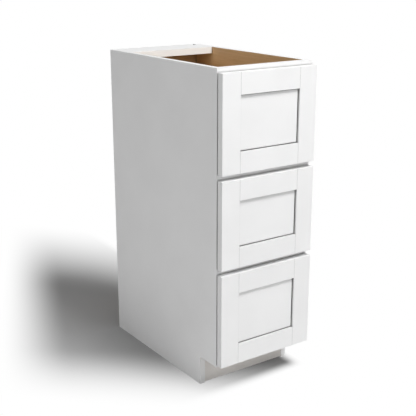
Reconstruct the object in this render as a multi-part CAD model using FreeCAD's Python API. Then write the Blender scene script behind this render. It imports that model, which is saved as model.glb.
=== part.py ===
import FreeCAD, Part
import os

# A narrow vanity base cabinet with three shaker drawers, in the face-frame style.
# Millimetres. X runs to the right of a person who faces the drawers, Y runs back to the wall, Z runs up.
# The origin lies on the floor under the middle of the whole cabinet, drawer fronts included.

# Carcass with its face frame: 12 in wide, 34 1/2 in high, 21 in deep
CABINET_WIDTH = 304.8
CABINET_HEIGHT = 876.3
CARCASS_DEPTH = 533.4

# Carcass boards and their joints
SIDE_THICKNESS = 15.9
DECK_THICKNESS = 12.7
DECK_DROP = 12.7
BACK_THICKNESS = 6.35
DADO_DEPTH = 6.0
HANG_RAIL_THICKNESS = 12.7
HANG_RAIL_HEIGHT = 76.2
REAR_RAIL_DEPTH = 103.0
REAR_RAIL_THICKNESS = 19.05
REAR_RAIL_TONGUE = 9.5
REAR_RAIL_NOTCH_WIDTH = 13.0
REAR_RAIL_NOTCH_DEPTH = 20.0

# Toe space under the fronts
TOE_HEIGHT = 82.5
TOE_DEPTH = 75.0
TOE_BOARD_THICKNESS = 12.7
TOE_BOARD_SETBACK = 1.0
TOE_BOARD_FLOOR_GAP = 2.0

# Face frame, with stub tenons on the rails and a stopped tongue on each side panel
FRAME_THICKNESS = 19.05
FRAME_STILE_WIDTH = 38.1
FRAME_RAIL_HEIGHT = 38.1
TENON_LENGTH = 10.0
TENON_THICKNESS = 8.0
TENON_SHOULDER = 5.0
SIDE_TONGUE_THICKNESS = 6.0
SIDE_TONGUE_LENGTH = 6.0
SIDE_TONGUE_STOP = 20.0

# Drawer fronts: the lower and upper ones are this much taller than an even split, the middle one gives it up
DRAWERS = ("lower_drawer", "middle_drawer", "upper_drawer")
LOWER_FRONT_EXTRA = 8.8
UPPER_FRONT_EXTRA = 4.3
FRONT_THICKNESS = 19.05
FRONT_STANDOFF = 2.0
FRONT_SIDE_REVEAL = 1.9
FRONT_TOP_REVEAL = 11.0
FRONT_BOTTOM_REVEAL = 4.5
FRONT_SPACING = 14.9
FRONT_FRAME_WIDTH = 55.6
FRONT_EDGE_RADIUS = 0.6
FRONT_JOINT_WIDTH = 0.4
FRONT_JOINT_DEPTH = 1.5
PANEL_RECESS = 6.35
PANEL_QUIRK_WIDTH = 2.2
PANEL_QUIRK_DEPTH = 5.2
PANEL_BACK_LIP = 3.0
PANEL_GROOVE = 8.0
PANEL_PLAY = 1.0

# Drawer boxes
BOX_THICKNESS = 12.7
BOX_BOTTOM_THICKNESS = 6.35
BOX_BOTTOM_RECESS = 13.0
BOX_SIDE_CLEARANCE = 5.0
BOX_LOW_CLEARANCE = 14.0
BOX_TOP_CLEARANCE = 47.0
BOX_REAR_CLEARANCE = 60.0
BOX_GROOVE = 6.0
BOX_GROOVE_PLAY = 0.5
BOX_EDGE_RADIUS = 2.5
TAIL_PITCH = 30.0
TAIL_WIDTH = 18.0
TAIL_SLOPE = 1.0 / 7.0

# Undermount slides: two channels with a middle member of I section between them
SHEET = 1.5
SHEET_EDGE_RADIUS = 0.4
CHANNEL_WIDTH = 27.0
CHANNEL_HEIGHT = 9.0
CHANNEL_SLOT = 10.5
CHANNEL_SIDE_GAP = 0.5
FLANGE_HEIGHT = 12.0
RUNNING_GAP = 0.3
MIDDLE_FLANGE = 2.0
MIDDLE_WEB = 3.0
SLIDE_SETBACK = 3.0
SLIDE_TAIL = 25.0
MEMBER_END_GAP = 3.0

# Locking clips under the front of each drawer box
CLIP_LENGTH = 32.0
CLIP_HEIGHT = 12.0
CLIP_LEVER_REACH = 18.0
CLIP_LEVER_WIDTH = 12.0
CLIP_LEVER_THICKNESS = 3.0

# Sockets that hold the rear ends of the slides
BRACKET_WALL = 3.0
BRACKET_LAP = 35.0
BRACKET_BELOW = 8.0
BRACKET_ABOVE = 30.0

# Screws and bumper dots
SCREW_SHANK_RADIUS = 1.8
SCREW_HEAD_RADIUS = 3.2
SCREW_HEAD_HEIGHT = 2.0
SCREW_CLEARANCE = 0.1
SCREW_RECESS_WIDTH = 0.8
SCREW_RECESS_DEPTH = 1.0
SCREW_RECESS_REACH = 1.9
FRONT_SCREW_BITE = 5.5
FRONT_SCREW_X = 60.0
FRONT_SCREW_LOW = 18.0
FRONT_SCREW_HIGH = 22.0
BRACKET_SCREW_BITE = 5.0
BRACKET_SCREW_X = 10.0
BRACKET_SCREW_RISE = 21.0
FLANGE_SCREW_LENGTH = 14.0
FLANGE_SCREW_RISE = 6.5
BUMPER_RADIUS = 4.5
BUMPER_GAP = 0.2
BUMPER_INSET = 12.0

# Planes across the depth, from the drawer faces back to the wall
OVERALL_DEPTH = CARCASS_DEPTH + FRONT_STANDOFF + FRONT_THICKNESS
FRONT_FACE = -OVERALL_DEPTH / 2
FRONT_REAR = FRONT_FACE + FRONT_THICKNESS
FRAME_FRONT = FRONT_REAR + FRONT_STANDOFF
FRAME_BACK = FRAME_FRONT + FRAME_THICKNESS
FRAME_MIDDLE = (FRAME_FRONT + FRAME_BACK) / 2
TOE_FACE = FRAME_FRONT + TOE_DEPTH
CARCASS_BACK = FRAME_FRONT + CARCASS_DEPTH
BACK_PANEL_REAR = CARCASS_BACK - HANG_RAIL_THICKNESS
BACK_PANEL_FRONT = BACK_PANEL_REAR - BACK_THICKNESS
REAR_RAIL_FRONT = CARCASS_BACK - REAR_RAIL_DEPTH
PANEL_FACE = FRONT_FACE + PANEL_RECESS
PANEL_GROOVE_FRONT = PANEL_FACE + PANEL_QUIRK_DEPTH
PANEL_GROOVE_BACK = FRONT_REAR - PANEL_BACK_LIP
BOX_FRONT_INSIDE = FRONT_REAR + BOX_THICKNESS
BOX_REAR = BACK_PANEL_FRONT - BOX_REAR_CLEARANCE
BOX_REAR_INSIDE = BOX_REAR - BOX_THICKNESS
CLIP_REAR = BOX_FRONT_INSIDE + CLIP_LENGTH
BRACKET_FRONT = BACK_PANEL_FRONT - BRACKET_WALL
SLIDE_REAR = BOX_REAR + SLIDE_TAIL

# Planes to the right of the middle
HALF_WIDTH = CABINET_WIDTH / 2
INNER_X = HALF_WIDTH - SIDE_THICKNESS
DADO_X = INNER_X + DADO_DEPTH
TONGUE_X = (INNER_X + HALF_WIDTH) / 2
OPENING_X = HALF_WIDTH - FRAME_STILE_WIDTH
FRONT_X = HALF_WIDTH - FRONT_SIDE_REVEAL
PANEL_X = FRONT_X - FRONT_FRAME_WIDTH
BOX_X = OPENING_X - BOX_SIDE_CLEARANCE
BOX_INNER_X = BOX_X - BOX_THICKNESS
CHANNEL_OUT = BOX_INNER_X - CHANNEL_SIDE_GAP
CHANNEL_IN = CHANNEL_OUT - CHANNEL_WIDTH
CHANNEL_X = (CHANNEL_OUT + CHANNEL_IN) / 2
BUMPER_X = FRONT_X - BUMPER_INSET

# Heights
REAR_RAIL_LOW = CABINET_HEIGHT - REAR_RAIL_THICKNESS
BOTTOM_RAIL_TOP = TOE_HEIGHT + FRAME_RAIL_HEIGHT
TOP_RAIL_LOW = CABINET_HEIGHT - FRAME_RAIL_HEIGHT
DECK_TOP = BOTTOM_RAIL_TOP - DECK_DROP
DECK_LOW = DECK_TOP - DECK_THICKNESS
FRONTS_LOW = TOE_HEIGHT + FRONT_BOTTOM_REVEAL
FRONTS_HIGH = CABINET_HEIGHT - FRONT_TOP_REVEAL
SLIDE_HEIGHT = BOX_LOW_CLEARANCE + BOX_BOTTOM_RECESS
SLOT_HALF = CHANNEL_SLOT / 2


def front_spans():
    """The lower and upper edge of each drawer front, the lowest first."""
    spaces = (len(DRAWERS) - 1) * FRONT_SPACING
    even = (FRONTS_HIGH - FRONTS_LOW - spaces) / len(DRAWERS)
    lower_top = FRONTS_LOW + even + LOWER_FRONT_EXTRA
    upper_bottom = FRONTS_HIGH - even - UPPER_FRONT_EXTRA
    middle = (lower_top + FRONT_SPACING, upper_bottom - FRONT_SPACING)
    return [(FRONTS_LOW, lower_top), middle, (upper_bottom, FRONTS_HIGH)]


def mid_rail_lows(spans):
    """The underside of each mid rail: the rail stands centred behind the space between two fronts."""
    return [high + (FRONT_SPACING - FRAME_RAIL_HEIGHT) / 2 for low, high in spans[:-1]]


def opening_spans(rail_lows):
    """The lower and upper edge of each drawer opening in the face frame."""
    lows = [BOTTOM_RAIL_TOP] + [low + FRAME_RAIL_HEIGHT for low in rail_lows]
    return list(zip(lows, rail_lows + [TOP_RAIL_LOW]))


def block(x0, x1, y0, y1, z0, z1):
    """A box between two corners."""
    return Part.makeBox(x1 - x0, y1 - y0, z1 - z0, FreeCAD.Vector(x0, y0, z0))


def centred_block(half, y0, y1, z0, z1):
    """A box that reaches as far to the left as to the right."""
    return block(-half, half, y0, y1, z0, z1)


def mirrored(shape):
    """The same piece on the left of the cabinet."""
    return shape.mirror(FreeCAD.Vector(0, 0, 0), FreeCAD.Vector(1, 0, 0))


def both_sides(shape):
    """A right-hand piece and its left-hand twin."""
    return [shape, mirrored(shape)]


def joined(shapes):
    """One solid from pieces that share faces."""
    return shapes[0].fuse(shapes[1:]).removeSplitter()


def prism(points, along):
    """A straight bar with the outline of the given corner points."""
    outline = Part.makePolygon(points + points[:1])
    return Part.Face(outline).extrude(along)


def profile_bar(outline, y0, y1):
    """A bar along Y from an outline of X and Z values, with its long edges eased."""
    points = [FreeCAD.Vector(x, y0, z) for x, z in outline]
    bar = prism(points, FreeCAD.Vector(0, y1 - y0, 0))
    long_edges = [edge for edge in bar.Edges if edge.BoundBox.YLength > (y1 - y0) / 2]
    return bar.makeFillet(SHEET_EDGE_RADIUS, long_edges)


def save(name, solids):
    """Write one named piece, or one group of like pieces."""
    shape = solids[0] if len(solids) == 1 else Part.makeCompound(solids)
    shape.exportStep("parts/" + name + ".step")


def hole(seat, direction, length):
    """The room that a screw's shank needs, from its seat inward."""
    return Part.makeCylinder(SCREW_SHANK_RADIUS + SCREW_CLEARANCE, length + SCREW_CLEARANCE, seat, direction)


def screw(seat, direction, length):
    """A pan-head screw with a cross recess, its head resting on the seat."""
    head = Part.makeCylinder(SCREW_HEAD_RADIUS, SCREW_HEAD_HEIGHT, seat, direction * -1)
    shank = Part.makeCylinder(SCREW_SHANK_RADIUS, length, seat, direction)
    reach = SCREW_RECESS_REACH
    half = SCREW_RECESS_WIDTH / 2
    floor = SCREW_RECESS_DEPTH - SCREW_HEAD_HEIGHT
    slots = [
        block(-reach, reach, -half, half, -SCREW_HEAD_HEIGHT, floor),
        block(-half, half, -reach, reach, -SCREW_HEAD_HEIGHT, floor),
    ]
    turn = FreeCAD.Rotation(FreeCAD.Vector(0, 0, 1), direction)
    for slot in slots:
        slot.Placement = FreeCAD.Placement(seat, turn)
    return joined([head, shank]).cut(slots)


def left_and_right(seats):
    """Screw seats on the right, joined by their twins on the left."""
    return seats + [FreeCAD.Vector(-seat.x, seat.y, seat.z) for seat in seats]


def side_panel():
    """Right side panel: toe notch, dado for the deck, groove for the back, slot for the rear rail."""
    panel = block(INNER_X, HALF_WIDTH, FRAME_BACK, CARCASS_BACK, 0, CABINET_HEIGHT)
    cuts = [
        block(INNER_X, HALF_WIDTH, FRAME_BACK, TOE_FACE, 0, TOE_HEIGHT),
        block(INNER_X, DADO_X, FRAME_BACK, BACK_PANEL_FRONT, DECK_LOW, DECK_TOP),
        block(INNER_X, DADO_X, BACK_PANEL_FRONT, BACK_PANEL_REAR, TOE_HEIGHT, REAR_RAIL_LOW),
        rear_rail_tongue(),
    ]
    return joined([panel.cut(cuts), side_tongue()])


def side_tongue():
    """The stopped tongue on the front edge of the right side panel."""
    half = SIDE_TONGUE_THICKNESS / 2
    low = TOE_HEIGHT + SIDE_TONGUE_STOP
    high = CABINET_HEIGHT - SIDE_TONGUE_STOP
    return block(TONGUE_X - half, TONGUE_X + half, FRAME_BACK - SIDE_TONGUE_LENGTH, FRAME_BACK, low, high)


def rear_rail_tongue():
    """The tongue on the right end of the rear top rail, along its lower half."""
    rear = CARCASS_BACK - REAR_RAIL_NOTCH_DEPTH
    return block(INNER_X, DADO_X, REAR_RAIL_FRONT, rear, REAR_RAIL_LOW, REAR_RAIL_LOW + REAR_RAIL_TONGUE)


def rear_top_rail():
    """The flat board across the back of the open top, with a notch in its right rear corner."""
    board = centred_block(INNER_X, REAR_RAIL_FRONT, CARCASS_BACK, REAR_RAIL_LOW, CABINET_HEIGHT)
    notch = block(
        INNER_X - REAR_RAIL_NOTCH_WIDTH,
        INNER_X,
        CARCASS_BACK - REAR_RAIL_NOTCH_DEPTH,
        CARCASS_BACK,
        REAR_RAIL_LOW,
        CABINET_HEIGHT,
    )
    return joined([board.cut(notch)] + both_sides(rear_rail_tongue()))


def frame_tenon(low):
    """The stub tenon on the right end of a face-frame rail whose underside is at the given height."""
    return block(
        OPENING_X,
        OPENING_X + TENON_LENGTH,
        FRAME_MIDDLE - TENON_THICKNESS / 2,
        FRAME_MIDDLE + TENON_THICKNESS / 2,
        low + TENON_SHOULDER,
        low + FRAME_RAIL_HEIGHT - TENON_SHOULDER,
    )


def frame_rail(low):
    """A face-frame rail between the stiles."""
    rail = centred_block(OPENING_X, FRAME_FRONT, FRAME_BACK, low, low + FRAME_RAIL_HEIGHT)
    return joined([rail] + both_sides(frame_tenon(low)))


def frame_stile(rail_lows, screw_seats):
    """The right face-frame stile, with its mortises, tongue groove and screw holes."""
    stile = block(OPENING_X, HALF_WIDTH, FRAME_FRONT, FRAME_BACK, TOE_HEIGHT, CABINET_HEIGHT)
    cuts = [side_tongue()] + [frame_tenon(low) for low in rail_lows]
    cuts += [hole(seat, FreeCAD.Vector(1, 0, 0), FLANGE_SCREW_LENGTH) for seat in screw_seats]
    return stile.cut(cuts)


def cabinet_member(low, screw_seat):
    """The fixed right slide member: a lipped channel with a flange that screws to the stile."""
    inside = CHANNEL_OUT - SHEET
    lip = CHANNEL_HEIGHT - SHEET
    outline = [
        (OPENING_X, 0),
        (OPENING_X, FLANGE_HEIGHT),
        (OPENING_X - SHEET, FLANGE_HEIGHT),
        (OPENING_X - SHEET, SHEET),
        (CHANNEL_OUT, SHEET),
        (CHANNEL_OUT, CHANNEL_HEIGHT),
        (CHANNEL_X + SLOT_HALF, CHANNEL_HEIGHT),
        (CHANNEL_X + SLOT_HALF, lip),
        (inside, lip),
        (inside, SHEET),
        (CHANNEL_IN + SHEET, SHEET),
        (CHANNEL_IN + SHEET, lip),
        (CHANNEL_X - SLOT_HALF, lip),
        (CHANNEL_X - SLOT_HALF, CHANNEL_HEIGHT),
        (CHANNEL_IN, CHANNEL_HEIGHT),
        (CHANNEL_IN, 0),
    ]
    placed = [(x, low + z) for x, z in outline]
    bar = profile_bar(placed, FRAME_FRONT + SLIDE_SETBACK, SLIDE_REAR)
    return bar.cut(hole(screw_seat, FreeCAD.Vector(1, 0, 0), FLANGE_SCREW_LENGTH))


def middle_member(low):
    """The right middle slide member: an I section that runs in both channels."""
    foot = low + SHEET + RUNNING_GAP
    head = low + SLIDE_HEIGHT - SHEET - RUNNING_GAP
    half = CHANNEL_WIDTH / 2 - SHEET - RUNNING_GAP
    front = CLIP_REAR + MEMBER_END_GAP
    rear = BOX_REAR - MEMBER_END_GAP
    web_left = CHANNEL_X - MIDDLE_WEB / 2
    web_right = CHANNEL_X + MIDDLE_WEB / 2
    outline = [
        (CHANNEL_X - half, foot),
        (CHANNEL_X + half, foot),
        (CHANNEL_X + half, foot + MIDDLE_FLANGE),
        (web_right, foot + MIDDLE_FLANGE),
        (web_right, head - MIDDLE_FLANGE),
        (CHANNEL_X + half, head - MIDDLE_FLANGE),
        (CHANNEL_X + half, head),
        (CHANNEL_X - half, head),
        (CHANNEL_X - half, head - MIDDLE_FLANGE),
        (web_left, head - MIDDLE_FLANGE),
        (web_left, foot + MIDDLE_FLANGE),
        (CHANNEL_X - half, foot + MIDDLE_FLANGE),
    ]
    return profile_bar(outline, front, rear)


def drawer_member(low):
    """The moving right slide member: a channel turned down, under the drawer's bottom."""
    top = low + SLIDE_HEIGHT
    mouth = top - CHANNEL_HEIGHT
    outline = [
        (CHANNEL_IN, top),
        (CHANNEL_OUT, top),
        (CHANNEL_OUT, mouth),
        (CHANNEL_X + SLOT_HALF, mouth),
        (CHANNEL_X + SLOT_HALF, mouth + SHEET),
        (CHANNEL_OUT - SHEET, mouth + SHEET),
        (CHANNEL_OUT - SHEET, top - SHEET),
        (CHANNEL_IN + SHEET, top - SHEET),
        (CHANNEL_IN + SHEET, mouth + SHEET),
        (CHANNEL_X - SLOT_HALF, mouth + SHEET),
        (CHANNEL_X - SLOT_HALF, mouth),
        (CHANNEL_IN, mouth),
    ]
    return profile_bar(outline, CLIP_REAR, BOX_REAR - MEMBER_END_GAP)


def locking_clip(low):
    """The right clip that hooks the drawer box to its slide, with a release lever towards the middle."""
    top = low + SLIDE_HEIGHT
    foot = top - CLIP_HEIGHT
    body = block(CHANNEL_IN, CHANNEL_OUT, BOX_FRONT_INSIDE, CLIP_REAR, foot, top)
    lever = block(
        CHANNEL_IN - CLIP_LEVER_REACH,
        CHANNEL_IN,
        BOX_FRONT_INSIDE,
        BOX_FRONT_INSIDE + CLIP_LEVER_WIDTH,
        foot,
        foot + CLIP_LEVER_THICKNESS,
    )
    return joined([body, lever])


def rear_bracket(low, screw_seats):
    """The right rear socket: a plate on the back panel, a shelf under the slide and a cheek beside it."""
    lap = SLIDE_REAR - BRACKET_LAP
    cheek_x = OPENING_X + BRACKET_WALL
    plate = block(
        CHANNEL_IN, cheek_x, BRACKET_FRONT, BACK_PANEL_FRONT, low - BRACKET_BELOW, low + BRACKET_ABOVE
    )
    shelf = block(CHANNEL_IN, cheek_x, lap, BRACKET_FRONT, low - BRACKET_WALL, low)
    cheek = block(OPENING_X, cheek_x, lap, BRACKET_FRONT, low, low + FLANGE_HEIGHT)
    holes = [hole(seat, FreeCAD.Vector(0, 1, 0), BRACKET_WALL + BRACKET_SCREW_BITE) for seat in screw_seats]
    return joined([plate, shelf, cheek]).cut(holes)


def flange_seat(low):
    """Where the head of a slide's front screw rests on its flange."""
    return FreeCAD.Vector(OPENING_X - SHEET, FRAME_MIDDLE, low + FLANGE_SCREW_RISE)


def bracket_seats(low):
    """Where the heads of a rear bracket's screws rest."""
    places = (CHANNEL_X - BRACKET_SCREW_X, CHANNEL_X + BRACKET_SCREW_X)
    return [FreeCAD.Vector(x, BRACKET_FRONT, low + BRACKET_SCREW_RISE) for x in places]


def build_carcass(spans, openings, rail_lows):
    """Panels, rails and face frame of the fixed carcass."""
    lows = [low for low, high in openings]
    flange_seats = [flange_seat(low) for low in lows]
    rear_seats = [seat for low in lows for seat in bracket_seats(low)]
    all_rail_lows = [TOE_HEIGHT] + rail_lows + [TOP_RAIL_LOW]

    side = side_panel()
    save("right_side_panel", [side])
    save("left_side_panel", [mirrored(side)])
    save("bottom_panel", [centred_block(DADO_X, FRAME_BACK, BACK_PANEL_FRONT, DECK_LOW, DECK_TOP)])
    back = centred_block(DADO_X, BACK_PANEL_FRONT, BACK_PANEL_REAR, TOE_HEIGHT, REAR_RAIL_LOW)
    bite = BRACKET_WALL + BRACKET_SCREW_BITE
    back_holes = [hole(seat, FreeCAD.Vector(0, 1, 0), bite) for seat in left_and_right(rear_seats)]
    save("back_panel", [back.cut(back_holes)])
    save("rear_top_rail", [rear_top_rail()])
    for name, low in (
        ("upper_hang_rail", REAR_RAIL_LOW - HANG_RAIL_HEIGHT),
        ("lower_hang_rail", TOE_HEIGHT),
    ):
        rail = centred_block(INNER_X, BACK_PANEL_REAR, CARCASS_BACK, low, low + HANG_RAIL_HEIGHT)
        save(name, [rail])
    toe_front = TOE_FACE + TOE_BOARD_SETBACK
    toe_back = toe_front + TOE_BOARD_THICKNESS
    save("toe_kick_board", [centred_block(INNER_X, toe_front, toe_back, TOE_BOARD_FLOOR_GAP, DECK_LOW)])

    stile = frame_stile(all_rail_lows, flange_seats)
    save("frame_right_stile", [stile])
    save("frame_left_stile", [mirrored(stile)])
    names = ("frame_bottom_rail", "frame_lower_mid_rail", "frame_upper_mid_rail", "frame_top_rail")
    for name, low in zip(names, all_rail_lows):
        save(name, [frame_rail(low)])

    dots = []
    reach = FRONT_STANDOFF - BUMPER_GAP
    for low, high in spans:
        for z in (low + BUMPER_INSET, high - BUMPER_INSET):
            seat = FreeCAD.Vector(BUMPER_X, FRAME_FRONT, z)
            dot = Part.makeCylinder(BUMPER_RADIUS, reach, seat, FreeCAD.Vector(0, -1, 0))
            dots += both_sides(dot)
    save("bumpers", dots)


def build_fixed_slides(openings):
    """Cabinet members, rear brackets and screws of all the slides."""
    members = []
    brackets = []
    screws = []
    for low, high in openings:
        members += both_sides(cabinet_member(low, flange_seat(low)))
        brackets += both_sides(rear_bracket(low, bracket_seats(low)))
        screws += both_sides(screw(flange_seat(low), FreeCAD.Vector(1, 0, 0), FLANGE_SCREW_LENGTH))
        for seat in left_and_right(bracket_seats(low)):
            screws.append(screw(seat, FreeCAD.Vector(0, 1, 0), BRACKET_WALL + BRACKET_SCREW_BITE))
    save("slide_cabinet_members", members)
    save("slide_rear_brackets", brackets)
    save("slide_screws", screws)


def front_screw_seats(box_low, box_high):
    """Where the heads of the screws that hold a drawer front rest, inside the box."""
    low = box_low + BOX_BOTTOM_RECESS + BOX_BOTTOM_THICKNESS + FRONT_SCREW_LOW
    right = [FreeCAD.Vector(FRONT_SCREW_X, BOX_FRONT_INSIDE, z) for z in (low, box_high - FRONT_SCREW_HIGH)]
    return left_and_right(right)


def eased_blank(low, high):
    """A whole drawer front's outline with rounded edges around its face."""
    blank = centred_block(FRONT_X, FRONT_FACE, FRONT_REAR, low, high)
    rim = [edge for edge in blank.Edges if edge.BoundBox.YMax < FRONT_FACE + FRONT_EDGE_RADIUS]
    return blank.makeFillet(FRONT_EDGE_RADIUS, rim)


def build_front(name, low, high, screw_holes):
    """A shaker drawer front: stiles, rails with stub tongues, and a panel with a quirk around its field."""
    blank = eased_blank(low, high)
    groove_x = PANEL_X + PANEL_GROOVE
    rail_low = low + FRONT_FRAME_WIDTH
    rail_high = high - FRONT_FRAME_WIDTH

    stile = block(PANEL_X, FRONT_X, FRONT_FACE, FRONT_REAR, low, high)
    groove = block(PANEL_X, groove_x, PANEL_GROOVE_FRONT, PANEL_GROOVE_BACK, low, high)
    right = stile.cut(groove).common(blank)
    save(name + "_front_right_stile", [right])
    save(name + "_front_left_stile", [mirrored(right)])

    rails = (
        ("_front_bottom_rail", low, rail_low, low, rail_low - PANEL_GROOVE, rail_low),
        ("_front_top_rail", rail_high, high, rail_high + PANEL_GROOVE, high, rail_high),
    )
    for rail_name, z0, z1, tongue0, tongue1, edge in rails:
        rail = centred_block(PANEL_X, FRONT_FACE, FRONT_REAR, z0, z1)
        grooved = rail.cut(
            centred_block(
                PANEL_X, PANEL_GROOVE_FRONT, PANEL_GROOVE_BACK, edge - PANEL_GROOVE, edge + PANEL_GROOVE
            )
        )
        tongue = block(PANEL_X, groove_x, PANEL_GROOVE_FRONT, PANEL_GROOVE_BACK, tongue0, tongue1)
        whole = joined([grooved] + both_sides(tongue)).common(blank)
        joint = block(
            PANEL_X - FRONT_JOINT_WIDTH, PANEL_X, FRONT_FACE, FRONT_FACE + FRONT_JOINT_DEPTH, z0, z1
        )
        save(name + rail_name, [whole.cut(both_sides(joint) + screw_holes)])

    reach = PANEL_GROOVE - PANEL_PLAY
    quirk = PANEL_QUIRK_WIDTH
    field_low = rail_low + quirk
    field_high = rail_high - quirk
    field = centred_block(PANEL_X - quirk, PANEL_FACE, PANEL_GROOVE_FRONT, field_low, field_high)
    core = centred_block(PANEL_X, PANEL_GROOVE_FRONT, FRONT_REAR, rail_low, rail_high)
    edge_low = rail_low - reach
    edge_high = rail_high + reach
    edges = centred_block(PANEL_X + reach, PANEL_GROOVE_FRONT, PANEL_GROOVE_BACK, edge_low, edge_high)
    save(name + "_front_panel", [joined([field, core, edges]).cut(screw_holes)])


def tails(low, high, inside, outside):
    """Dovetails of the right box side between two heights, widening from the inside to the outside."""
    count = max(1, round((high - low) / TAIL_PITCH))
    pitch = (high - low) / count
    narrow = TAIL_WIDTH / 2
    wide = narrow + abs(outside - inside) * TAIL_SLOPE
    shapes = []
    for index in range(count):
        middle = low + (index + 0.5) * pitch
        points = [
            FreeCAD.Vector(BOX_INNER_X, inside, middle - narrow),
            FreeCAD.Vector(BOX_INNER_X, outside, middle - wide),
            FreeCAD.Vector(BOX_INNER_X, outside, middle + wide),
            FreeCAD.Vector(BOX_INNER_X, inside, middle + narrow),
        ]
        shapes.append(prism(points, FreeCAD.Vector(BOX_THICKNESS, 0, 0)))
    return shapes


def eased_ring(low, high):
    """The four walls of a drawer box as one ring with a rounded rim."""
    ring = centred_block(BOX_X, FRONT_REAR, BOX_REAR, low, high)
    ring = ring.cut(centred_block(BOX_INNER_X, BOX_FRONT_INSIDE, BOX_REAR_INSIDE, low, high))
    rim = [edge for edge in ring.Edges if edge.BoundBox.ZMin > high - BOX_EDGE_RADIUS]
    return ring.makeFillet(BOX_EDGE_RADIUS, rim)


def build_box(name, low, high, screw_holes):
    """A dovetailed drawer box with its bottom in grooves."""
    ring = eased_ring(low, high)
    bottom_low = low + BOX_BOTTOM_RECESS
    bottom_high = bottom_low + BOX_BOTTOM_THICKNESS
    front_tails = tails(low, high, BOX_FRONT_INSIDE, FRONT_REAR)
    rear_tails = tails(bottom_high, high, BOX_REAR_INSIDE, BOX_REAR)

    body = block(BOX_INNER_X, BOX_X, BOX_FRONT_INSIDE, BOX_REAR_INSIDE, low, high)
    heel = block(BOX_INNER_X, BOX_X, BOX_REAR_INSIDE, BOX_REAR, low, bottom_high)
    groove = block(
        BOX_INNER_X, BOX_INNER_X + BOX_GROOVE, BOX_FRONT_INSIDE, BOX_REAR, bottom_low, bottom_high
    )
    side = joined([body, heel] + front_tails + rear_tails).cut(groove).common(ring)
    save(name + "_box_right_side", [side])
    save(name + "_box_left_side", [mirrored(side)])

    board = centred_block(BOX_X, FRONT_REAR, BOX_FRONT_INSIDE, low, high)
    groove_front = BOX_FRONT_INSIDE - BOX_GROOVE
    cuts = [centred_block(BOX_INNER_X, groove_front, BOX_FRONT_INSIDE, bottom_low, bottom_high)]
    cuts += front_tails + [mirrored(tail) for tail in front_tails]
    save(name + "_box_front", [board.cut(cuts + screw_holes).common(ring)])

    board = centred_block(BOX_X, BOX_REAR_INSIDE, BOX_REAR, bottom_high, high)
    cuts = rear_tails + [mirrored(tail) for tail in rear_tails]
    save(name + "_box_back", [board.cut(cuts).common(ring)])

    reach = BOX_GROOVE - BOX_GROOVE_PLAY
    sheet = centred_block(BOX_INNER_X + reach, BOX_FRONT_INSIDE, BOX_REAR, bottom_low, bottom_high)
    lip = centred_block(BOX_INNER_X, BOX_FRONT_INSIDE - reach, BOX_FRONT_INSIDE, bottom_low, bottom_high)
    save(name + "_box_bottom", [joined([sheet, lip])])


def build_drawer(name, front_span, opening):
    """One drawer with its front, box, clips, screws and the slide members that move with it."""
    opening_low, opening_high = opening
    box_low = opening_low + BOX_LOW_CLEARANCE
    box_high = opening_high - BOX_TOP_CLEARANCE
    forward = FreeCAD.Vector(0, -1, 0)
    length = BOX_THICKNESS + FRONT_SCREW_BITE
    seats = front_screw_seats(box_low, box_high)
    screw_holes = [hole(seat, forward, length) for seat in seats]

    build_front(name, front_span[0], front_span[1], screw_holes)
    build_box(name, box_low, box_high, screw_holes)
    save(name + "_front_screws", [screw(seat, forward, length) for seat in seats])
    save(name + "_locking_clips", both_sides(locking_clip(opening_low)))
    save(name + "_slide_drawer_members", both_sides(drawer_member(opening_low)))
    save(name + "_slide_middle_members", both_sides(middle_member(opening_low)))


def build():
    """Write every piece of the cabinet."""
    os.makedirs("parts", exist_ok=True)
    spans = front_spans()
    rail_lows = mid_rail_lows(spans)
    openings = opening_spans(rail_lows)
    build_carcass(spans, openings, rail_lows)
    build_fixed_slides(openings)
    for name, span, opening in zip(DRAWERS, spans, openings):
        build_drawer(name, span, opening)


build()
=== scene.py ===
"""Looks of a narrow three-drawer vanity base cabinet: finishes, eased edges, studio light and camera."""

import math
from collections import namedtuple

import bmesh
import bpy
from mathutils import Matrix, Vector


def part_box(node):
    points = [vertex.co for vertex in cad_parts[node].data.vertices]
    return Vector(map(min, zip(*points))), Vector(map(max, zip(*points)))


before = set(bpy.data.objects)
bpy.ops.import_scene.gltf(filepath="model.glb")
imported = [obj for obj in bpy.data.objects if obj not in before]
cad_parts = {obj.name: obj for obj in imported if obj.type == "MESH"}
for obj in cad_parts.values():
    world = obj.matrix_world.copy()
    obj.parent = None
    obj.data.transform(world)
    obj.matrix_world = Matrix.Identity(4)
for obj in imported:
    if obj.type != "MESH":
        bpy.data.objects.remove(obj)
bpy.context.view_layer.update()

# Axes by their place in a vector
X, Y, Z = 0, 1, 2

# Camera: its place in metres, its turn from straight in front and its tilt downwards in degrees, and its lens
# and sensor in millimetres
CAMERA_PLACE = (-1.3135, -1.8830, 1.1225)
CAMERA_AZIMUTH = -34.90
CAMERA_ELEVATION = 16.60
CAMERA_LENS = 71.70
SENSOR_WIDTH = 36.0

# Softboxes, as ellipses: their places and sizes in metres, their power in watts, and the point that they face
Softbox = namedtuple("Softbox", "name place size power")
SOFTBOX_TARGET = (0.0, -0.20, 0.60)
SOFTBOXES = (
    Softbox("key", (0.62, -2.00, 3.70), (1.40, 1.45), 129.0),
    Softbox("front_fill", (-0.40, -3.90, 1.50), (2.40, 1.40), 28.0),
    Softbox("left_fill", (-3.30, -0.40, 1.90), (2.40, 1.40), 31.0),
)

# The room's own light: its strength at the horizon and at the ceiling, and how far up the ceiling begins, as
# the sine of an angle
WALLS = 0.04
CEILING = 0.055
WALL_TOP = 0.55

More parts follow.
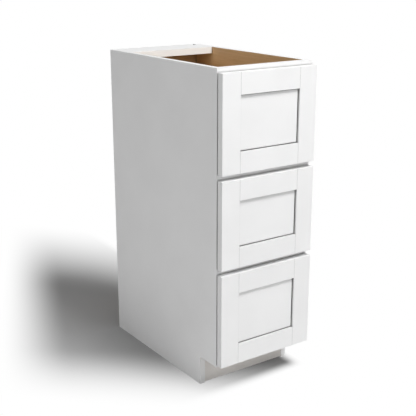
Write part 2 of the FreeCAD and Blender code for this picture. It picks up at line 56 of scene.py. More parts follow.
# Floor: its reach, and the soft edges beyond which its shading has faded to white. An edge looks a way in
# degrees from +X, and it starts at a distance from the origin and ends a width further out
FLOOR_RADIUS = 12.0
FLOOR_SIDES = 96
FadeEdge = namedtuple("FadeEdge", "heading start width")
FADE_EDGES = (
    FadeEdge(-2.5, 0.130, 0.051),
    FadeEdge(36.4, 0.261, 0.662),
    FadeEdge(157.3, 0.407, 0.217),
    FadeEdge(228.5, 0.052, 0.330),
    FadeEdge(272.0, 0.214, 0.052),
)

# The floor's colour for the light that it throws back, its colours as shown in the open and, as a painted
# contact shadow, where the cabinet crowds it within the contact distance, and the share of its shading that
# it keeps inside all the edges
FLOOR_COLOUR = (0.76, 0.76, 0.76, 1.0)
FLOOR_SHOWN = (0.527, 0.527, 0.527, 1.0)
FLOOR_PAINTED_SHADOW = (0.020, 0.020, 0.020, 1.0)
FLOOR_PAINTED_SHADOW_REACH = 0.30
FLOOR_KEPT = 0.928
FLOOR_ROUGHNESS = 0.9
FLOOR_SHEEN = 0.1
WHITE = (1.0, 1.0, 1.0, 1.0)

# Eased edges: their widths in metres, their steps, and the angle from which an edge is eased. Faces that turn
# less than the flat angle are joined first, and so are corners that lie within the weld distance
WOOD_EDGE = 0.00035
PAINT_EDGE = 0.00030
FRONT_EDGE = 0.00015
PLASTIC_EDGE = 0.00040
EDGE_STEPS = 2
EDGE_ANGLE = math.radians(35.0)
FLAT_ANGLE = math.radians(0.6)
WELD_DISTANCE = 0.00001

# A face looks along an axis when its normal's share on that axis is over this
FACING_SHARE = 0.7

# Rays that find out how open a spot lies
OPENNESS_SAMPLES = 16

# Bump heights are in millimetres
MILLIMETRE = 0.001

# Places of a mix node's sockets: two numbers or two colours go in, and a number or a colour comes out
FIRST_NUMBER, SECOND_NUMBER = 2, 3
FIRST_COLOUR, SECOND_COLOUR = 6, 7
MIXED_NUMBER, MIXED_COLOUR = 0, 2

# A noise: features in a metre across the grain and along it, its detail and warp, and the part of its range
# that is used
Pattern = namedtuple("Pattern", "across along detail warp low high")

# A layer of finish: what feeds the colour, the roughness and the height of the surface
Coat = namedtuple("Coat", "colour roughness height")

# Sprayed satin paint
PAINT_DARK = (0.838, 0.838, 0.838, 1.0)
PAINT_LIGHT = (0.863, 0.863, 0.863, 1.0)
PAINT_CLOUD = Pattern(7.0, 7.0, 2.0, 0.0, 0.30, 0.70)
PAINT_SHEEN = Pattern(45.0, 45.0, 2.0, 0.0, 0.25, 0.75)
PAINT_PEEL = Pattern(420.0, 420.0, 2.0, 0.0, 0.0, 1.0)
PAINT_GRAIN = Pattern(500.0, 14.0, 3.0, 0.0, 0.20, 0.80)
PAINT_ROUGHNESS = (0.36, 0.48)
PAINT_PEEL_HEIGHT = 0.010
PAINT_GRAIN_HEIGHT = 0.006

# Painted shade, darker where other surfaces crowd one: its colours, and how near they have to be, in metres,
# on the frame, on the fronts and in inside corners
PAINT_CREVICE_SHADE = (0.160, 0.158, 0.155, 1.0)
WOOD_CREVICE_SHADE = (0.110, 0.070, 0.040, 1.0)
FRAME_CREVICE = 0.006
FRONT_CREVICE = 0.007
CORNER_CREVICE = 0.006

# Painted shade: a near-black colour laid deep in the grooves round the front panels and in the rear rail's
# notch, and how far behind the face of the front panels it begins, in metres
GROOVE_SHADE_DARK = (0.060, 0.060, 0.060, 1.0)
GROOVE_SHADE_LIGHT = (0.100, 0.099, 0.098, 1.0)
GROOVE_SHADE_MARGIN = 0.0004

# Brown wood-print laminate
LAMINATE_DARK = (0.560, 0.348, 0.165, 1.0)
LAMINATE_LIGHT = (0.740, 0.505, 0.270, 1.0)
LAMINATE_STREAK = (0.470, 0.285, 0.132, 1.0)
LAMINATE_PORE = (0.320, 0.183, 0.080, 1.0)
LAMINATE_BANDS = Pattern(26.0, 1.6, 4.0, 0.6, 0.25, 0.75)
LAMINATE_FIBRE = Pattern(420.0, 9.0, 3.0, 0.0, 0.25, 0.75)
LAMINATE_PORES = Pattern(900.0, 40.0, 2.0, 0.0, 0.62, 0.74)
LAMINATE_STREAK_SHARE = 0.35
LAMINATE_PORE_SHARE = 0.45
LAMINATE_ROUGHNESS = (0.40, 0.54)
LAMINATE_PORE_DEPTH = (0.012, 0.0)
# The share by which the back panel's laminate is darkened: painted shade
LAMINATE_BACK_PAINTED_SHADE = 0.45

# Clear-coated maple
MAPLE_DARK = (0.560, 0.385, 0.215, 1.0)
MAPLE_LIGHT = (0.700, 0.530, 0.335, 1.0)
MAPLE_FIBRE_COLOUR = (0.500, 0.330, 0.175, 1.0)
MAPLE_FLECK_COLOUR = (0.360, 0.205, 0.095, 1.0)
MAPLE_END_DARK = (0.300, 0.175, 0.084, 1.0)
MAPLE_END_LIGHT = (0.470, 0.310, 0.165, 1.0)
MAPLE_BANDS = Pattern(34.0, 1.9, 3.0, 0.8, 0.25, 0.75)
MAPLE_FIBRE = Pattern(700.0, 16.0, 3.0, 0.0, 0.25, 0.75)
MAPLE_FLECKS = Pattern(520.0, 75.0, 1.0, 0.0, 0.66, 0.76)
MAPLE_END_PORES = Pattern(850.0, 850.0, 2.0, 0.0, 0.35, 0.70)
MAPLE_FIBRE_SHARE = 0.30
MAPLE_FLECK_SHARE = 0.40
MAPLE_ROUGHNESS = (0.34, 0.48)
MAPLE_FLECK_DEPTH = (0.010, 0.0)
LACQUER_WEIGHT = 0.15
LACQUER_ROUGHNESS = 0.35

# Edges of plywood. A light and a dark layer make a pair: the side panels have a number of pairs, and the thin
# panels and the hang rails a thickness for one, in metres. The stripes turn back at half a pair
PLY_LIGHT = (0.640, 0.490, 0.315, 1.0)
PLY_DARK = (0.390, 0.255, 0.140, 1.0)
PLY_TORN = (0.300, 0.190, 0.100, 1.0)
PLY_WAVER = Pattern(60.0, 60.0, 3.0, 0.0, 0.0, 1.0)
PLY_SPECKLE = Pattern(900.0, 900.0, 2.0, 0.0, 0.30, 0.70)
PLY_WAVER_REACH = (-0.18, 0.18)
PLY_FOLD = 0.5
PLY_STRIPE = (0.20, 0.32)
PLY_TORN_SHARE = 0.5
PLY_ROUGHNESS = (0.62, 0.80)
PLY_TORN_DEPTH = (0.03, 0.0)
SIDE_PLIES = 9
THIN_PLY = 0.0021
HANG_RAIL_PLY = 0.0025

# Bare and primed boards: a darker and a lighter colour for each
BACK_BARE = ((0.430, 0.300, 0.180, 1.0), (0.590, 0.450, 0.300, 1.0))
BOTTOM_PRIMED = ((0.700, 0.690, 0.676, 1.0), (0.770, 0.760, 0.745, 1.0))
REAR_RAIL_BARE = ((0.868, 0.856, 0.830, 1.0), (0.905, 0.900, 0.888, 1.0))
HANG_RAIL_BARE = ((0.560, 0.420, 0.270, 1.0), (0.720, 0.590, 0.420, 1.0))
TOE_BOARD_PRIMED = ((0.765, 0.738, 0.708, 1.0), (0.815, 0.790, 0.762, 1.0))
BARE_BANDS = Pattern(30.0, 2.2, 4.0, 0.7, 0.25, 0.75)
BARE_FIBRE = Pattern(650.0, 14.0, 3.0, 0.0, 0.25, 0.75)
BARE_FIBRE_SHARE = 0.30
BARE_ROUGHNESS = (0.55, 0.72)
BARE_FIBRE_HEIGHT = (0.0, 0.02)

# Zinc-plated sheet steel
ZINC_DARK = (0.560, 0.570, 0.590, 1.0)
ZINC_LIGHT = (0.700, 0.710, 0.725, 1.0)
ZINC_STAIN = (0.420, 0.420, 0.430, 1.0)
ZINC_SPANGLES = 160.0
ZINC_LINES = Pattern(1400.0, 10.0, 3.0, 0.0, 0.25, 0.75)
ZINC_SMUDGE = Pattern(22.0, 22.0, 3.0, 0.0, 0.30, 0.70)
ZINC_LINE_SHARE = 0.20
ZINC_SMUDGE_SHARE = 0.12
ZINC_ROUGHNESS = (0.24, 0.34)
ZINC_LINE_ROUGHNESS = 0.08
ZINC_LINE_HEIGHT = 0.004

# Moulded dark plastic and clear bumper dots
PLASTIC_DARK = (0.040, 0.041, 0.043, 1.0)
PLASTIC_LIGHT = (0.058, 0.059, 0.061, 1.0)
PLASTIC_CLOUD = Pattern(60.0, 60.0, 2.0, 0.0, 0.30, 0.70)
PLASTIC_TEXTURE = Pattern(1300.0, 1300.0, 2.0, 0.0, 0.30, 0.70)
PLASTIC_ROUGHNESS = (0.42, 0.58)
PLASTIC_TEXTURE_HEIGHT = 0.02
BUMPER_DARK = (0.760, 0.770, 0.770, 1.0)
BUMPER_LIGHT = (0.880, 0.885, 0.885, 1.0)
BUMPER_CLOUD = Pattern(700.0, 700.0, 2.0, 0.0, 0.30, 0.70)
BUMPER_ROUGHNESS = (0.22, 0.36)
BUMPER_HEIGHT = 0.01
BUMPER_CLEARNESS = 0.55
BUMPER_IOR = 1.48


class Wiring:
    """Nodes and links of one shader tree."""

    def __init__(self, tree):
        """Take up the tree to be wired."""
        self.tree = tree

    def add(self, kind, inputs=None, **settings):
        """A new node, its inputs set to values or linked to other nodes' outputs."""
        made = self.tree.nodes.new("ShaderNode" + kind)
        for key, value in settings.items():
            setattr(made, key, value)
        for key, value in (inputs or {}).items():
            self.feed(made.inputs[key], value)
        return made

    def feed(self, socket, value):
        """Set an input, or link it."""
        if isinstance(value, bpy.types.NodeSocket):
            self.tree.links.new(value, socket)
        else:
            socket.default_value = value

    def math(self, operation, first, second):
        """A sum, product or comparison of two values."""
        return self.add("Math", {0: first, 1: second}, operation=operation).outputs[0]

    def remap(self, value, start, end, low, high, kind="SMOOTHSTEP"):
        """Values from start to end spread over low to high, and held there outside."""
        inputs = dict(enumerate((value, start, end, low, high)))
        return self.add("MapRange", inputs, interpolation_type=kind).outputs[0]

    def within(self, share, span):
        """A share of 0 to 1 spread evenly over a span."""
        return self.remap(share, 0.0, 1.0, span[0], span[1], "LINEAR")

    def blend(self, share, first, second):
        """A mix of two colours."""
        inputs = {0: share, FIRST_COLOUR: first, SECOND_COLOUR: second}
        return self.add("Mix", inputs, data_type="RGBA").outputs[MIXED_COLOUR]

    def blend_values(self, share, first, second):
        """A mix of two numbers."""
        inputs = {0: share, FIRST_NUMBER: first, SECOND_NUMBER: second}
        return self.add("Mix", inputs, data_type="FLOAT").outputs[MIXED_NUMBER]

    def shown_rays(self):
        """1 for the rays that show the background: from the camera, mirrored, or through a clear thing."""
        path = self.add("LightPath")
        total = self.math("ADD", path.outputs["Is Camera Ray"], path.outputs["Is Glossy Ray"])
        total = self.math("ADD", total, path.outputs["Is Transmission Ray"])
        return self.math("MINIMUM", total, 1.0)


class Finish(Wiring):
    """A procedural material in the making. Textures follow the piece's own coordinates, in metres."""

    def __init__(self, name):
        """Start a material of this name, with the surface's place and normal at hand."""
        self.material = bpy.data.materials.new(name)
        self.material.use_nodes = True
        super().__init__(self.material.node_tree)
        self.shader = self.tree.nodes["Principled BSDF"]
        coordinates = self.add("TexCoord")
        self.place = coordinates.outputs["Object"]
        self.normal = self.add("SeparateXYZ", {"Vector": coordinates.outputs["Normal"]})
        self.spot = self.add("SeparateXYZ", {"Vector": self.place})

    def pattern(self, noise, grain):
        """A noise with its grain along one axis, as a share of 0 to 1."""
        scale = tuple(noise.along if axis == grain else noise.across for axis in (X, Y, Z))
        spread = self.add("Mapping", {"Vector": self.place, "Scale": scale})
        inputs = {"Vector": spread.outputs[0], "Scale": 1.0, "Detail": noise.detail, "Distortion": noise.warp}
        made = self.add("TexNoise", inputs)
        return self.remap(made.outputs[0], noise.low, noise.high, 0.0, 1.0)

    def cells(self, per_metre):
        """A different share of 0 to 1 for each of many small cells."""
        made = self.add("TexVoronoi", {"Vector": self.place, "Scale": per_metre})
        return self.add("SeparateXYZ", {"Vector": made.outputs["Color"]}).outputs[X]

    def facing(self, axis, sign):
        """1 on the faces that look along an axis, towards its plus or minus end."""
        operation = "GREATER_THAN" if sign > 0 else "LESS_THAN"
        return self.math(operation, self.normal.outputs[axis], sign * FACING_SHARE)

    def across(self, axis):
        """1 on the faces that look along an axis either way."""
        return self.math("MAXIMUM", self.facing(axis, 1), self.facing(axis, -1))

    def openness(self, reach):
        """1 where a surface lies open, and less where others crowd it within a reach in metres."""
        return self.add("AmbientOcclusion", {"Distance": reach}, samples=OPENNESS_SAMPLES).outputs["AO"]

    def other(self, share):
        """1 where the share is 0, and 0 where it is 1."""
        return self.math("SUBTRACT", 1.0, share)

    def layer(self, share, under, over):
        """One coat over another where the share is 1."""
        return Coat(
            self.blend(share, under.colour, over.colour),
            self.blend_values(share, under.roughness, over.roughness),
            self.blend_values(share, under.height, over.height),
        )

    def apply(self, coat):
        """Give the surface this coat and return the material."""
        bump = self.add("Bump", {"Height": coat.height, "Strength": 1.0, "Distance": MILLIMETRE})
        self.feed(self.shader.inputs["Base Color"], coat.colour)
        self.feed(self.shader.inputs["Roughness"], coat.roughness)
        self.feed(self.shader.inputs["Normal"], bump.outputs[0])
        return self.material


def paint_coat(finish, grain):
    """Sprayed satin white, with a slight cloudiness, orange peel and the grain faintly showing through."""
    colour = finish.blend(finish.pattern(PAINT_CLOUD, grain), PAINT_DARK, PAINT_LIGHT)
    roughness = finish.within(finish.pattern(PAINT_SHEEN, grain), PAINT_ROUGHNESS)
    peel = finish.math("MULTIPLY", finish.pattern(PAINT_PEEL, grain), PAINT_PEEL_HEIGHT)
    lines = finish.math("MULTIPLY", finish.pattern(PAINT_GRAIN, grain), PAINT_GRAIN_HEIGHT)
    return Coat(colour, roughness, finish.math("ADD", peel, lines))


def laminate_coat(finish, grain):
    """Brown wood-print laminate of the cabinet's inside."""
    fibre = finish.pattern(LAMINATE_FIBRE, grain)
    pores = finish.pattern(LAMINATE_PORES, grain)
    ground = finish.blend(finish.pattern(LAMINATE_BANDS, grain), LAMINATE_DARK, LAMINATE_LIGHT)
    streaked = finish.blend(finish.math("MULTIPLY", fibre, LAMINATE_STREAK_SHARE), ground, LAMINATE_STREAK)
    colour = finish.blend(finish.math("MULTIPLY", pores, LAMINATE_PORE_SHARE), streaked, LAMINATE_PORE)
    return Coat(colour, finish.within(fibre, LAMINATE_ROUGHNESS), finish.within(pores, LAMINATE_PORE_DEPTH))


def maple_coat(finish, grain):
    """Clear-coated maple: soft growth bands, fine fibre, short flecks, and dark end grain."""
    fibre = finish.pattern(MAPLE_FIBRE, grain)
    flecks = finish.pattern(MAPLE_FLECKS, grain)
    ground = finish.blend(finish.pattern(MAPLE_BANDS, grain), MAPLE_DARK, MAPLE_LIGHT)
    combed = finish.blend(finish.math("MULTIPLY", fibre, MAPLE_FIBRE_SHARE), ground, MAPLE_FIBRE_COLOUR)
    length = finish.blend(finish.math("MULTIPLY", flecks, MAPLE_FLECK_SHARE), combed, MAPLE_FLECK_COLOUR)
    end = finish.blend(finish.pattern(MAPLE_END_PORES, grain), MAPLE_END_DARK, MAPLE_END_LIGHT)
    colour = finish.blend(finish.across(grain), length, end)
    return Coat(colour, finish.within(fibre, MAPLE_ROUGHNESS), finish.within(flecks, MAPLE_FLECK_DEPTH))


def ply_coat(finish, thickness_axis, pitch):
    """The edge of a plywood board: thin plies, light and dark in turn, slightly torn."""
    waver = finish.within(finish.pattern(PLY_WAVER, thickness_axis), PLY_WAVER_REACH)
    count = finish.math("MULTIPLY", finish.spot.outputs[thickness_axis], 1.0 / pitch)
    fold = finish.math("PINGPONG", finish.math("ADD", count, waver), PLY_FOLD)
    dark = finish.remap(fold, PLY_STRIPE[0], PLY_STRIPE[1], 0.0, 1.0)
    speckle = finish.pattern(PLY_SPECKLE, thickness_axis)
    striped = finish.blend(dark, PLY_LIGHT, PLY_DARK)
    colour = finish.blend(finish.math("MULTIPLY", speckle, PLY_TORN_SHARE), striped, PLY_TORN)
    return Coat(colour, finish.within(speckle, PLY_ROUGHNESS), finish.within(speckle, PLY_TORN_DEPTH))


def bare_coat(finish, grain, colours):
    """A bare or primed board with a soft figure along its grain."""
    dark, light = colours
    fibre = finish.pattern(BARE_FIBRE, grain)
    ground = finish.blend(finish.pattern(BARE_BANDS, grain), dark, light)
    colour = finish.blend(finish.math("MULTIPLY", fibre, BARE_FIBRE_SHARE), ground, dark)
    return Coat(colour, finish.within(fibre, BARE_ROUGHNESS), finish.within(fibre, BARE_FIBRE_HEIGHT))


def groove_shade_coat(finish, grain):
    """Near-black painted shade, laid where the grooves and the notch lie deep in shade."""
    fibre = finish.pattern(BARE_FIBRE, grain)
    colour = finish.blend(fibre, GROOVE_SHADE_DARK, GROOVE_SHADE_LIGHT)
    return Coat(colour, finish.within(fibre, BARE_ROUGHNESS), finish.within(fibre, BARE_FIBRE_HEIGHT))


def painted_crevice_shade(finish, coat, shade_colour, reach):
    """A coat darkened by painted shade where other surfaces crowd it within a reach in metres."""
    return coat._replace(colour=finish.blend(finish.openness(reach), shade_colour, coat.colour))


def frame_finish(name, grain):
    """A board of the face frame: white paint, with painted shade where the drawer fronts close against it."""
    finish = Finish(name)
    # Painted shade darkens the paint where the fronts and other boards crowd it
    return finish.apply(painted_crevice_shade(finish, paint_coat(finish, grain), PAINT_CREVICE_SHADE, FRAME_CREVICE))


def behind_panel_face(finish):
    """1 where the surface lies deeper than the face of the front panels."""
    low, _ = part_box("upper_drawer_front_panel")
    return finish.math("GREATER_THAN", finish.spot.outputs[Y], low.y + GROOVE_SHADE_MARGIN)


def front_board_finish(name, grain, axis, sign):
    """A stile or rail of a drawer front: paint with painted shade in its crevices. Deep on the edge that
    looks to the panel it gets a near-black painted shade.
    """
    finish = Finish(name)
    # Near-black painted shade deep on the edge by the panel, and painted shade in the crevices
    deep = finish.math("MULTIPLY", behind_panel_face(finish), finish.facing(axis, sign))
    paint = painted_crevice_shade(finish, paint_coat(finish, grain), PAINT_CREVICE_SHADE, FRONT_CREVICE)
    return finish.apply(finish.layer(deep, paint, groove_shade_coat(finish, grain)))


def front_panel_finish(name):
    """The panel of a drawer front: painted on its face and its back, with painted shade in its crevices, and
    a near-black painted shade round its edges.
    """
    finish = Finish(name)
    # Near-black painted shade round the panel's edges, and painted shade in the crevices
    rim = finish.math("MULTIPLY", behind_panel_face(finish), finish.other(finish.facing(Y, 1)))
    paint = painted_crevice_shade(finish, paint_coat(finish, Z), PAINT_CREVICE_SHADE, FRONT_CREVICE)
    return finish.apply(finish.layer(rim, paint, groove_shade_coat(finish, Z)))


def side_panel_finish(name, inward):
    """A side panel: paint outside and in the toe space, laminate inside, bare plies behind and below.

    Its laminate has painted shade in the inside corners. Where the rear rail butts against it, and shows in
    the rail's notch, the board gets a near-black painted shade.
    """
    finish = Finish(name)
    low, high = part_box("left_side_panel")
    board_low, board_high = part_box("toe_kick_board")
    rail_low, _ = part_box("rear_top_rail")
    bare = finish.math("MAXIMUM", finish.facing(Y, 1), finish.facing(Z, -1))
    behind_board = finish.math("GREATER_THAN", finish.spot.outputs[Y], board_low.y)
    above_board = finish.math("GREATER_THAN", finish.spot.outputs[Z], board_high.z)
    enclosed = finish.math("MAXIMUM", behind_board, above_board)
    lined = finish.math("MULTIPLY", finish.facing(X, inward), enclosed)
    # Near-black painted shade where the rear rail butts against the panel and shows in its notch
    behind_edge = finish.math("GREATER_THAN", finish.spot.outputs[Y], rail_low.y)
    above_edge = finish.math("GREATER_THAN", finish.spot.outputs[Z], rail_low.z)
    butted = finish.math("MULTIPLY", behind_edge, above_edge)
    # Painted shade in the laminate's inside corners
    laminate = painted_crevice_shade(finish, laminate_coat(finish, Y), WOOD_CREVICE_SHADE, CORNER_CREVICE)
    lining = finish.layer(butted, laminate, groove_shade_coat(finish, Y))
    coat = finish.layer(lined, paint_coat(finish, Z), lining)
    return finish.apply(finish.layer(bare, coat, ply_coat(finish, X, (high.x - low.x) / SIDE_PLIES)))


def lined_panel_finish(name, grain, face_axis, sign, shade, outside):
    """A thin panel: laminate on the face that looks inwards, darker by a share of painted shade and with
    painted shade in its corners, and plain board outside.
    """
    finish = Finish(name)
    edge = finish.other(finish.across(face_axis))
    board = finish.layer(edge, bare_coat(finish, grain, outside), ply_coat(finish, face_axis, THIN_PLY))
    laminate = laminate_coat(finish, grain)
    # The laminate darkened by a share of painted shade, and painted shade in its corners
    laminate = laminate._replace(colour=finish.blend(shade, laminate.colour, LAMINATE_PORE))
    lining = painted_crevice_shade(finish, laminate, WOOD_CREVICE_SHADE, CORNER_CREVICE)
    return finish.apply(finish.layer(finish.facing(face_axis, sign), board, lining))


def rear_rail_finish(name):
    """The rear top rail: white on top, bare cream board elsewhere, with painted shade in its corners."""
    finish = Finish(name)
    # Painted shade in the rail's corners
    bare = painted_crevice_shade(finish, bare_coat(finish, X, REAR_RAIL_BARE), WOOD_CREVICE_SHADE, CORNER_CREVICE)
    return finish.apply(finish.layer(finish.facing(Z, 1), bare, paint_coat(finish, X)))


def hang_rail_finish(name):
    """A bare plywood rail: pale faces, plies on its edges."""
    finish = Finish(name)
    edge = finish.other(finish.across(Y))
    face = bare_coat(finish, X, HANG_RAIL_BARE)
    return finish.apply(finish.layer(edge, face, ply_coat(finish, Y, HANG_RAIL_PLY)))


def toe_board_finish(name):
    """The toe board: a pale, faintly warm primed board."""
    finish = Finish(name)
    return finish.apply(bare_coat(finish, X, TOE_BOARD_PRIMED))


def maple_finish(name, grain):
    """A maple board of a drawer box."""
    finish = Finish(name)
    finish.shader.inputs["Coat Weight"].default_value = LACQUER_WEIGHT
    finish.shader.inputs["Coat Roughness"].default_value = LACQUER_ROUGHNESS
    return finish.apply(maple_coat(finish, grain))


def zinc_finish(name):
    """Zinc-plated sheet steel: faint spangle, and rolling lines along the slides."""
    finish = Finish(name)
    finish.shader.inputs["Metallic"].default_value = 1.0
    spangle = finish.cells(ZINC_SPANGLES)
    lines = finish.pattern(ZINC_LINES, Y)
    smudge = finish.math("MULTIPLY", finish.pattern(ZINC_SMUDGE, Y), ZINC_SMUDGE_SHARE)
    stain = finish.math("ADD", smudge, finish.math("MULTIPLY", lines, ZINC_LINE_SHARE))
    colour = finish.blend(stain, finish.blend(spangle, ZINC_DARK, ZINC_LIGHT), ZINC_STAIN)
    rough_lines = finish.math("MULTIPLY", lines, ZINC_LINE_ROUGHNESS)
    roughness = finish.math("ADD", finish.within(spangle, ZINC_ROUGHNESS), rough_lines)
    return finish.apply(Coat(colour, roughness, finish.math("MULTIPLY", lines, ZINC_LINE_HEIGHT)))


def plastic_finish(name):
    """Moulded dark grey plastic with a fine spark-eroded texture."""
    finish = Finish(name)
    texture = finish.pattern(PLASTIC_TEXTURE, Z)
    colour = finish.blend(finish.pattern(PLASTIC_CLOUD, Z), PLASTIC_DARK, PLASTIC_LIGHT)
    height = finish.math("MULTIPLY", texture, PLASTIC_TEXTURE_HEIGHT)
    return finish.apply(Coat(colour, finish.within(texture, PLASTIC_ROUGHNESS), height))


def bumper_finish(name):
    """Soft clear bumper dots, a little cloudy."""
    finish = Finish(name)
    finish.shader.inputs["Transmission Weight"].default_value = BUMPER_CLEARNESS
    finish.shader.inputs["IOR"].default_value = BUMPER_IOR
    cloud = finish.pattern(BUMPER_CLOUD, Z)
    colour = finish.blend(cloud, BUMPER_DARK, BUMPER_LIGHT)
    height = finish.math("MULTIPLY", cloud, BUMPER_HEIGHT)
    return finish.apply(Coat(colour, finish.within(cloud, BUMPER_ROUGHNESS), height))


def ease_edges(piece, width):
    """Join the faces of a board where they meet and round its sharp edges a little."""
    weld = piece.modifiers.new("weld", "WELD")
    weld.merge_threshold = WELD_DISTANCE
    flat = piece.modifiers.new("whole_faces", "DECIMATE")
    flat.decimate_type = "DISSOLVE"
    flat.angle_limit = FLAT_ANGLE
    bevel = piece.modifiers.new("eased_edges", "BEVEL")
    bevel.width = width
    bevel.segments = EDGE_STEPS
    bevel.limit_method = "ANGLE"
    bevel.angle_limit = EDGE_ANGLE
    piece.modifiers.new("even_normals", "WEIGHTED_NORMAL")


def dress(piece, material, edge):
    """Give a piece its finish, and eased edges where it has a width for them."""
    piece.data.materials.clear()
    piece.data.materials.append(material)
    if edge:
        ease_edges(piece, edge)


def dress_cabinet():
    """Finishes of the fixed pieces."""
    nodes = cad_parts
    upright = frame_finish("frame_paint_upright", Z)
    level = frame_finish("frame_paint_level", X)
    zinc = zinc_finish("zinc_steel")
    for side, inward in (("left", 1), ("right", -1)):
        dress(nodes[side + "_side_panel"], side_panel_finish(side + "_side_panel_finish", inward), PAINT_EDGE)
        dress(nodes["frame_" + side + "_stile"], upright, PAINT_EDGE)
    for rail in ("top", "upper_mid", "lower_mid", "bottom"):
        dress(nodes["frame_" + rail + "_rail"], level, PAINT_EDGE)
    bottom_panel = lined_panel_finish("bottom_panel_finish", Y, Z, 1, 0.0, BOTTOM_PRIMED)
    back_panel = lined_panel_finish("back_panel_finish", X, Y, -1, LAMINATE_BACK_PAINTED_SHADE, BACK_BARE)
    dress(nodes["bottom_panel"], bottom_panel, WOOD_EDGE)
    dress(nodes["back_panel"], back_panel, WOOD_EDGE)
    dress(nodes["rear_top_rail"], rear_rail_finish("rear_rail_finish"), WOOD_EDGE)
    hang_rail = hang_rail_finish("hang_rail_finish")
    for rail in ("upper", "lower"):
        dress(nodes[rail + "_hang_rail"], hang_rail, WOOD_EDGE)
    dress(nodes["toe_kick_board"], toe_board_finish("toe_board_finish"), WOOD_EDGE)
    dress(nodes["bumpers"], bumper_finish("bumper_plastic"), PLASTIC_EDGE)
    dress(nodes["slide_cabinet_members"], zinc, None)
    dress(nodes["slide_screws"], zinc, None)
    dress(nodes["slide_rear_brackets"], plastic_finish("bracket_plastic"), PLASTIC_EDGE)


def dress_drawers():
    """Finishes of the drawers, their boxes and the slide members that move."""
    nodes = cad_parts
    maple_deep = maple_finish("drawer_maple_deep", Y)
    maple_wide = maple_finish("drawer_maple_wide", X)
    zinc = zinc_finish("slide_steel")
    finishes = {
        "_front_left_stile": (front_board_finish("front_left_stile_finish", Z, X, 1), FRONT_EDGE),
        "_front_right_stile": (front_board_finish("front_right_stile_finish", Z, X, -1), FRONT_EDGE),
        "_front_top_rail": (front_board_finish("front_top_rail_finish", X, Z, -1), FRONT_EDGE),
        "_front_bottom_rail": (front_board_finish("front_bottom_rail_finish", X, Z, 1), FRONT_EDGE),
        "_front_panel": (front_panel_finish("front_panel_finish"), FRONT_EDGE),
        "_box_left_side": (maple_deep, WOOD_EDGE),
        "_box_right_side": (maple_deep, WOOD_EDGE),
        "_box_front": (maple_wide, WOOD_EDGE),
        "_box_back": (maple_wide, WOOD_EDGE),
        "_box_bottom": (maple_wide, WOOD_EDGE),
        "_front_screws": (zinc, None),
        "_slide_drawer_members": (zinc, None),
        "_slide_middle_members": (zinc, None),
        "_locking_clips": (plastic_finish("clip_plastic"), PLASTIC_EDGE),
    }
    for drawer in ("lower_drawer", "middle_drawer", "upper_drawer"):
        for ending, (material, edge) in finishes.items():
            dress(nodes[drawer + ending], material, edge)


def kept_shading(finish):
    """The share of its shading that the floor keeps: most of it near the cabinet, none beyond a soft edge."""
    kept = FLOOR_KEPT
    for edge in FADE_EDGES:
        turn = math.radians(edge.heading)
        from_x = finish.math("MULTIPLY", finish.spot.outputs[X], math.cos(turn))
        from_y = finish.math("MULTIPLY", finish.spot.outputs[Y], math.sin(turn))
        distance = finish.math("ADD", from_x, from_y)
        within_edge = finish.remap(distance, edge.start, edge.start + edge.width, 1.0, 0.0)
        kept = finish.math("MULTIPLY", kept, within_edge)
    return kept


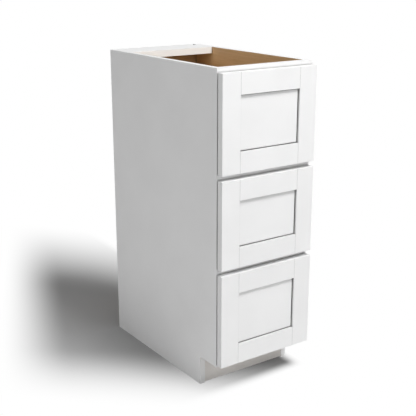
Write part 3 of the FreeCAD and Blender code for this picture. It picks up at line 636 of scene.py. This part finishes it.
def make_floor():
    """A plain pale floor with a painted contact shadow near the cabinet, that fades into the white background
    away from the cabinet and its shadow.
    """
    mesh = bpy.data.meshes.new("studio_floor")
    shape = bmesh.new()
    bmesh.ops.create_circle(shape, cap_ends=True, segments=FLOOR_SIDES, radius=FLOOR_RADIUS)
    shape.to_mesh(mesh)
    shape.free()
    floor = bpy.data.objects.new("studio_floor", mesh)
    bpy.context.scene.collection.objects.link(floor)
    finish = Finish("studio_floor")
    shown = finish.shown_rays()
    finish.shader.inputs["Roughness"].default_value = FLOOR_ROUGHNESS
    finish.shader.inputs["Specular IOR Level"].default_value = FLOOR_SHEEN
    # A painted contact shadow: the floor as shown turns darker where the cabinet crowds it
    floor_with_painted_shadow = finish.blend(finish.openness(FLOOR_PAINTED_SHADOW_REACH), FLOOR_PAINTED_SHADOW, FLOOR_SHOWN)
    finish.feed(finish.shader.inputs["Base Color"], finish.blend(shown, FLOOR_COLOUR, floor_with_painted_shadow))
    faded = finish.math("MULTIPLY", finish.other(kept_shading(finish)), shown)
    glow = finish.add("Emission", {"Color": WHITE, "Strength": 1.0})
    mixed = finish.add("MixShader", {0: faded, 1: finish.shader.outputs[0], 2: glow.outputs[0]})
    finish.feed(finish.tree.nodes["Material Output"].inputs["Surface"], mixed.outputs[0])
    mesh.materials.append(finish.material)


def make_room_light():
    """A white background that lights the cabinet a little, like the walls and ceiling of a dim room."""
    world = bpy.data.worlds.new("studio")
    world.use_nodes = True
    bpy.context.scene.world = world
    wiring = Wiring(world.node_tree)
    direction = wiring.add("SeparateXYZ", {"Vector": wiring.add("TexCoord").outputs["Generated"]})
    room = wiring.remap(direction.outputs[Z], 0.0, WALL_TOP, WALLS, CEILING, "LINEAR")
    background = wiring.tree.nodes["Background"]
    background.inputs["Color"].default_value = WHITE
    wiring.feed(background.inputs["Strength"], wiring.blend_values(wiring.shown_rays(), room, 1.0))


def make_softbox(box):
    """A soft light that faces the cabinet."""
    light = bpy.data.lights.new(box.name, "AREA")
    light.shape = "ELLIPSE"
    light.size, light.size_y = box.size
    light.energy = box.power
    lamp = bpy.data.objects.new(box.name, light)
    lamp.location = box.place
    aim = Vector(SOFTBOX_TARGET) - Vector(box.place)
    lamp.rotation_mode = "QUATERNION"
    lamp.rotation_quaternion = aim.to_track_quat("-Z", "Y")
    bpy.context.scene.collection.objects.link(lamp)


def make_camera():
    """The camera at the photograph's angle."""
    data = bpy.data.cameras.new("photo_camera")
    data.lens = CAMERA_LENS
    data.sensor_width = SENSOR_WIDTH
    camera = bpy.data.objects.new("photo_camera", data)
    turn = math.radians(CAMERA_AZIMUTH)
    rise = math.radians(CAMERA_ELEVATION)
    back = Vector((math.sin(turn) * math.cos(rise), -math.cos(turn) * math.cos(rise), math.sin(rise)))
    camera.location = CAMERA_PLACE
    camera.rotation_mode = "QUATERNION"
    camera.rotation_quaternion = (-back).to_track_quat("-Z", "Y")
    bpy.context.scene.collection.objects.link(camera)
    bpy.context.scene.camera = camera


bpy.context.scene.view_settings.view_transform = "Standard"
dress_cabinet()
dress_drawers()
make_floor()
make_room_light()
for softbox in SOFTBOXES:
    make_softbox(softbox)
make_camera()
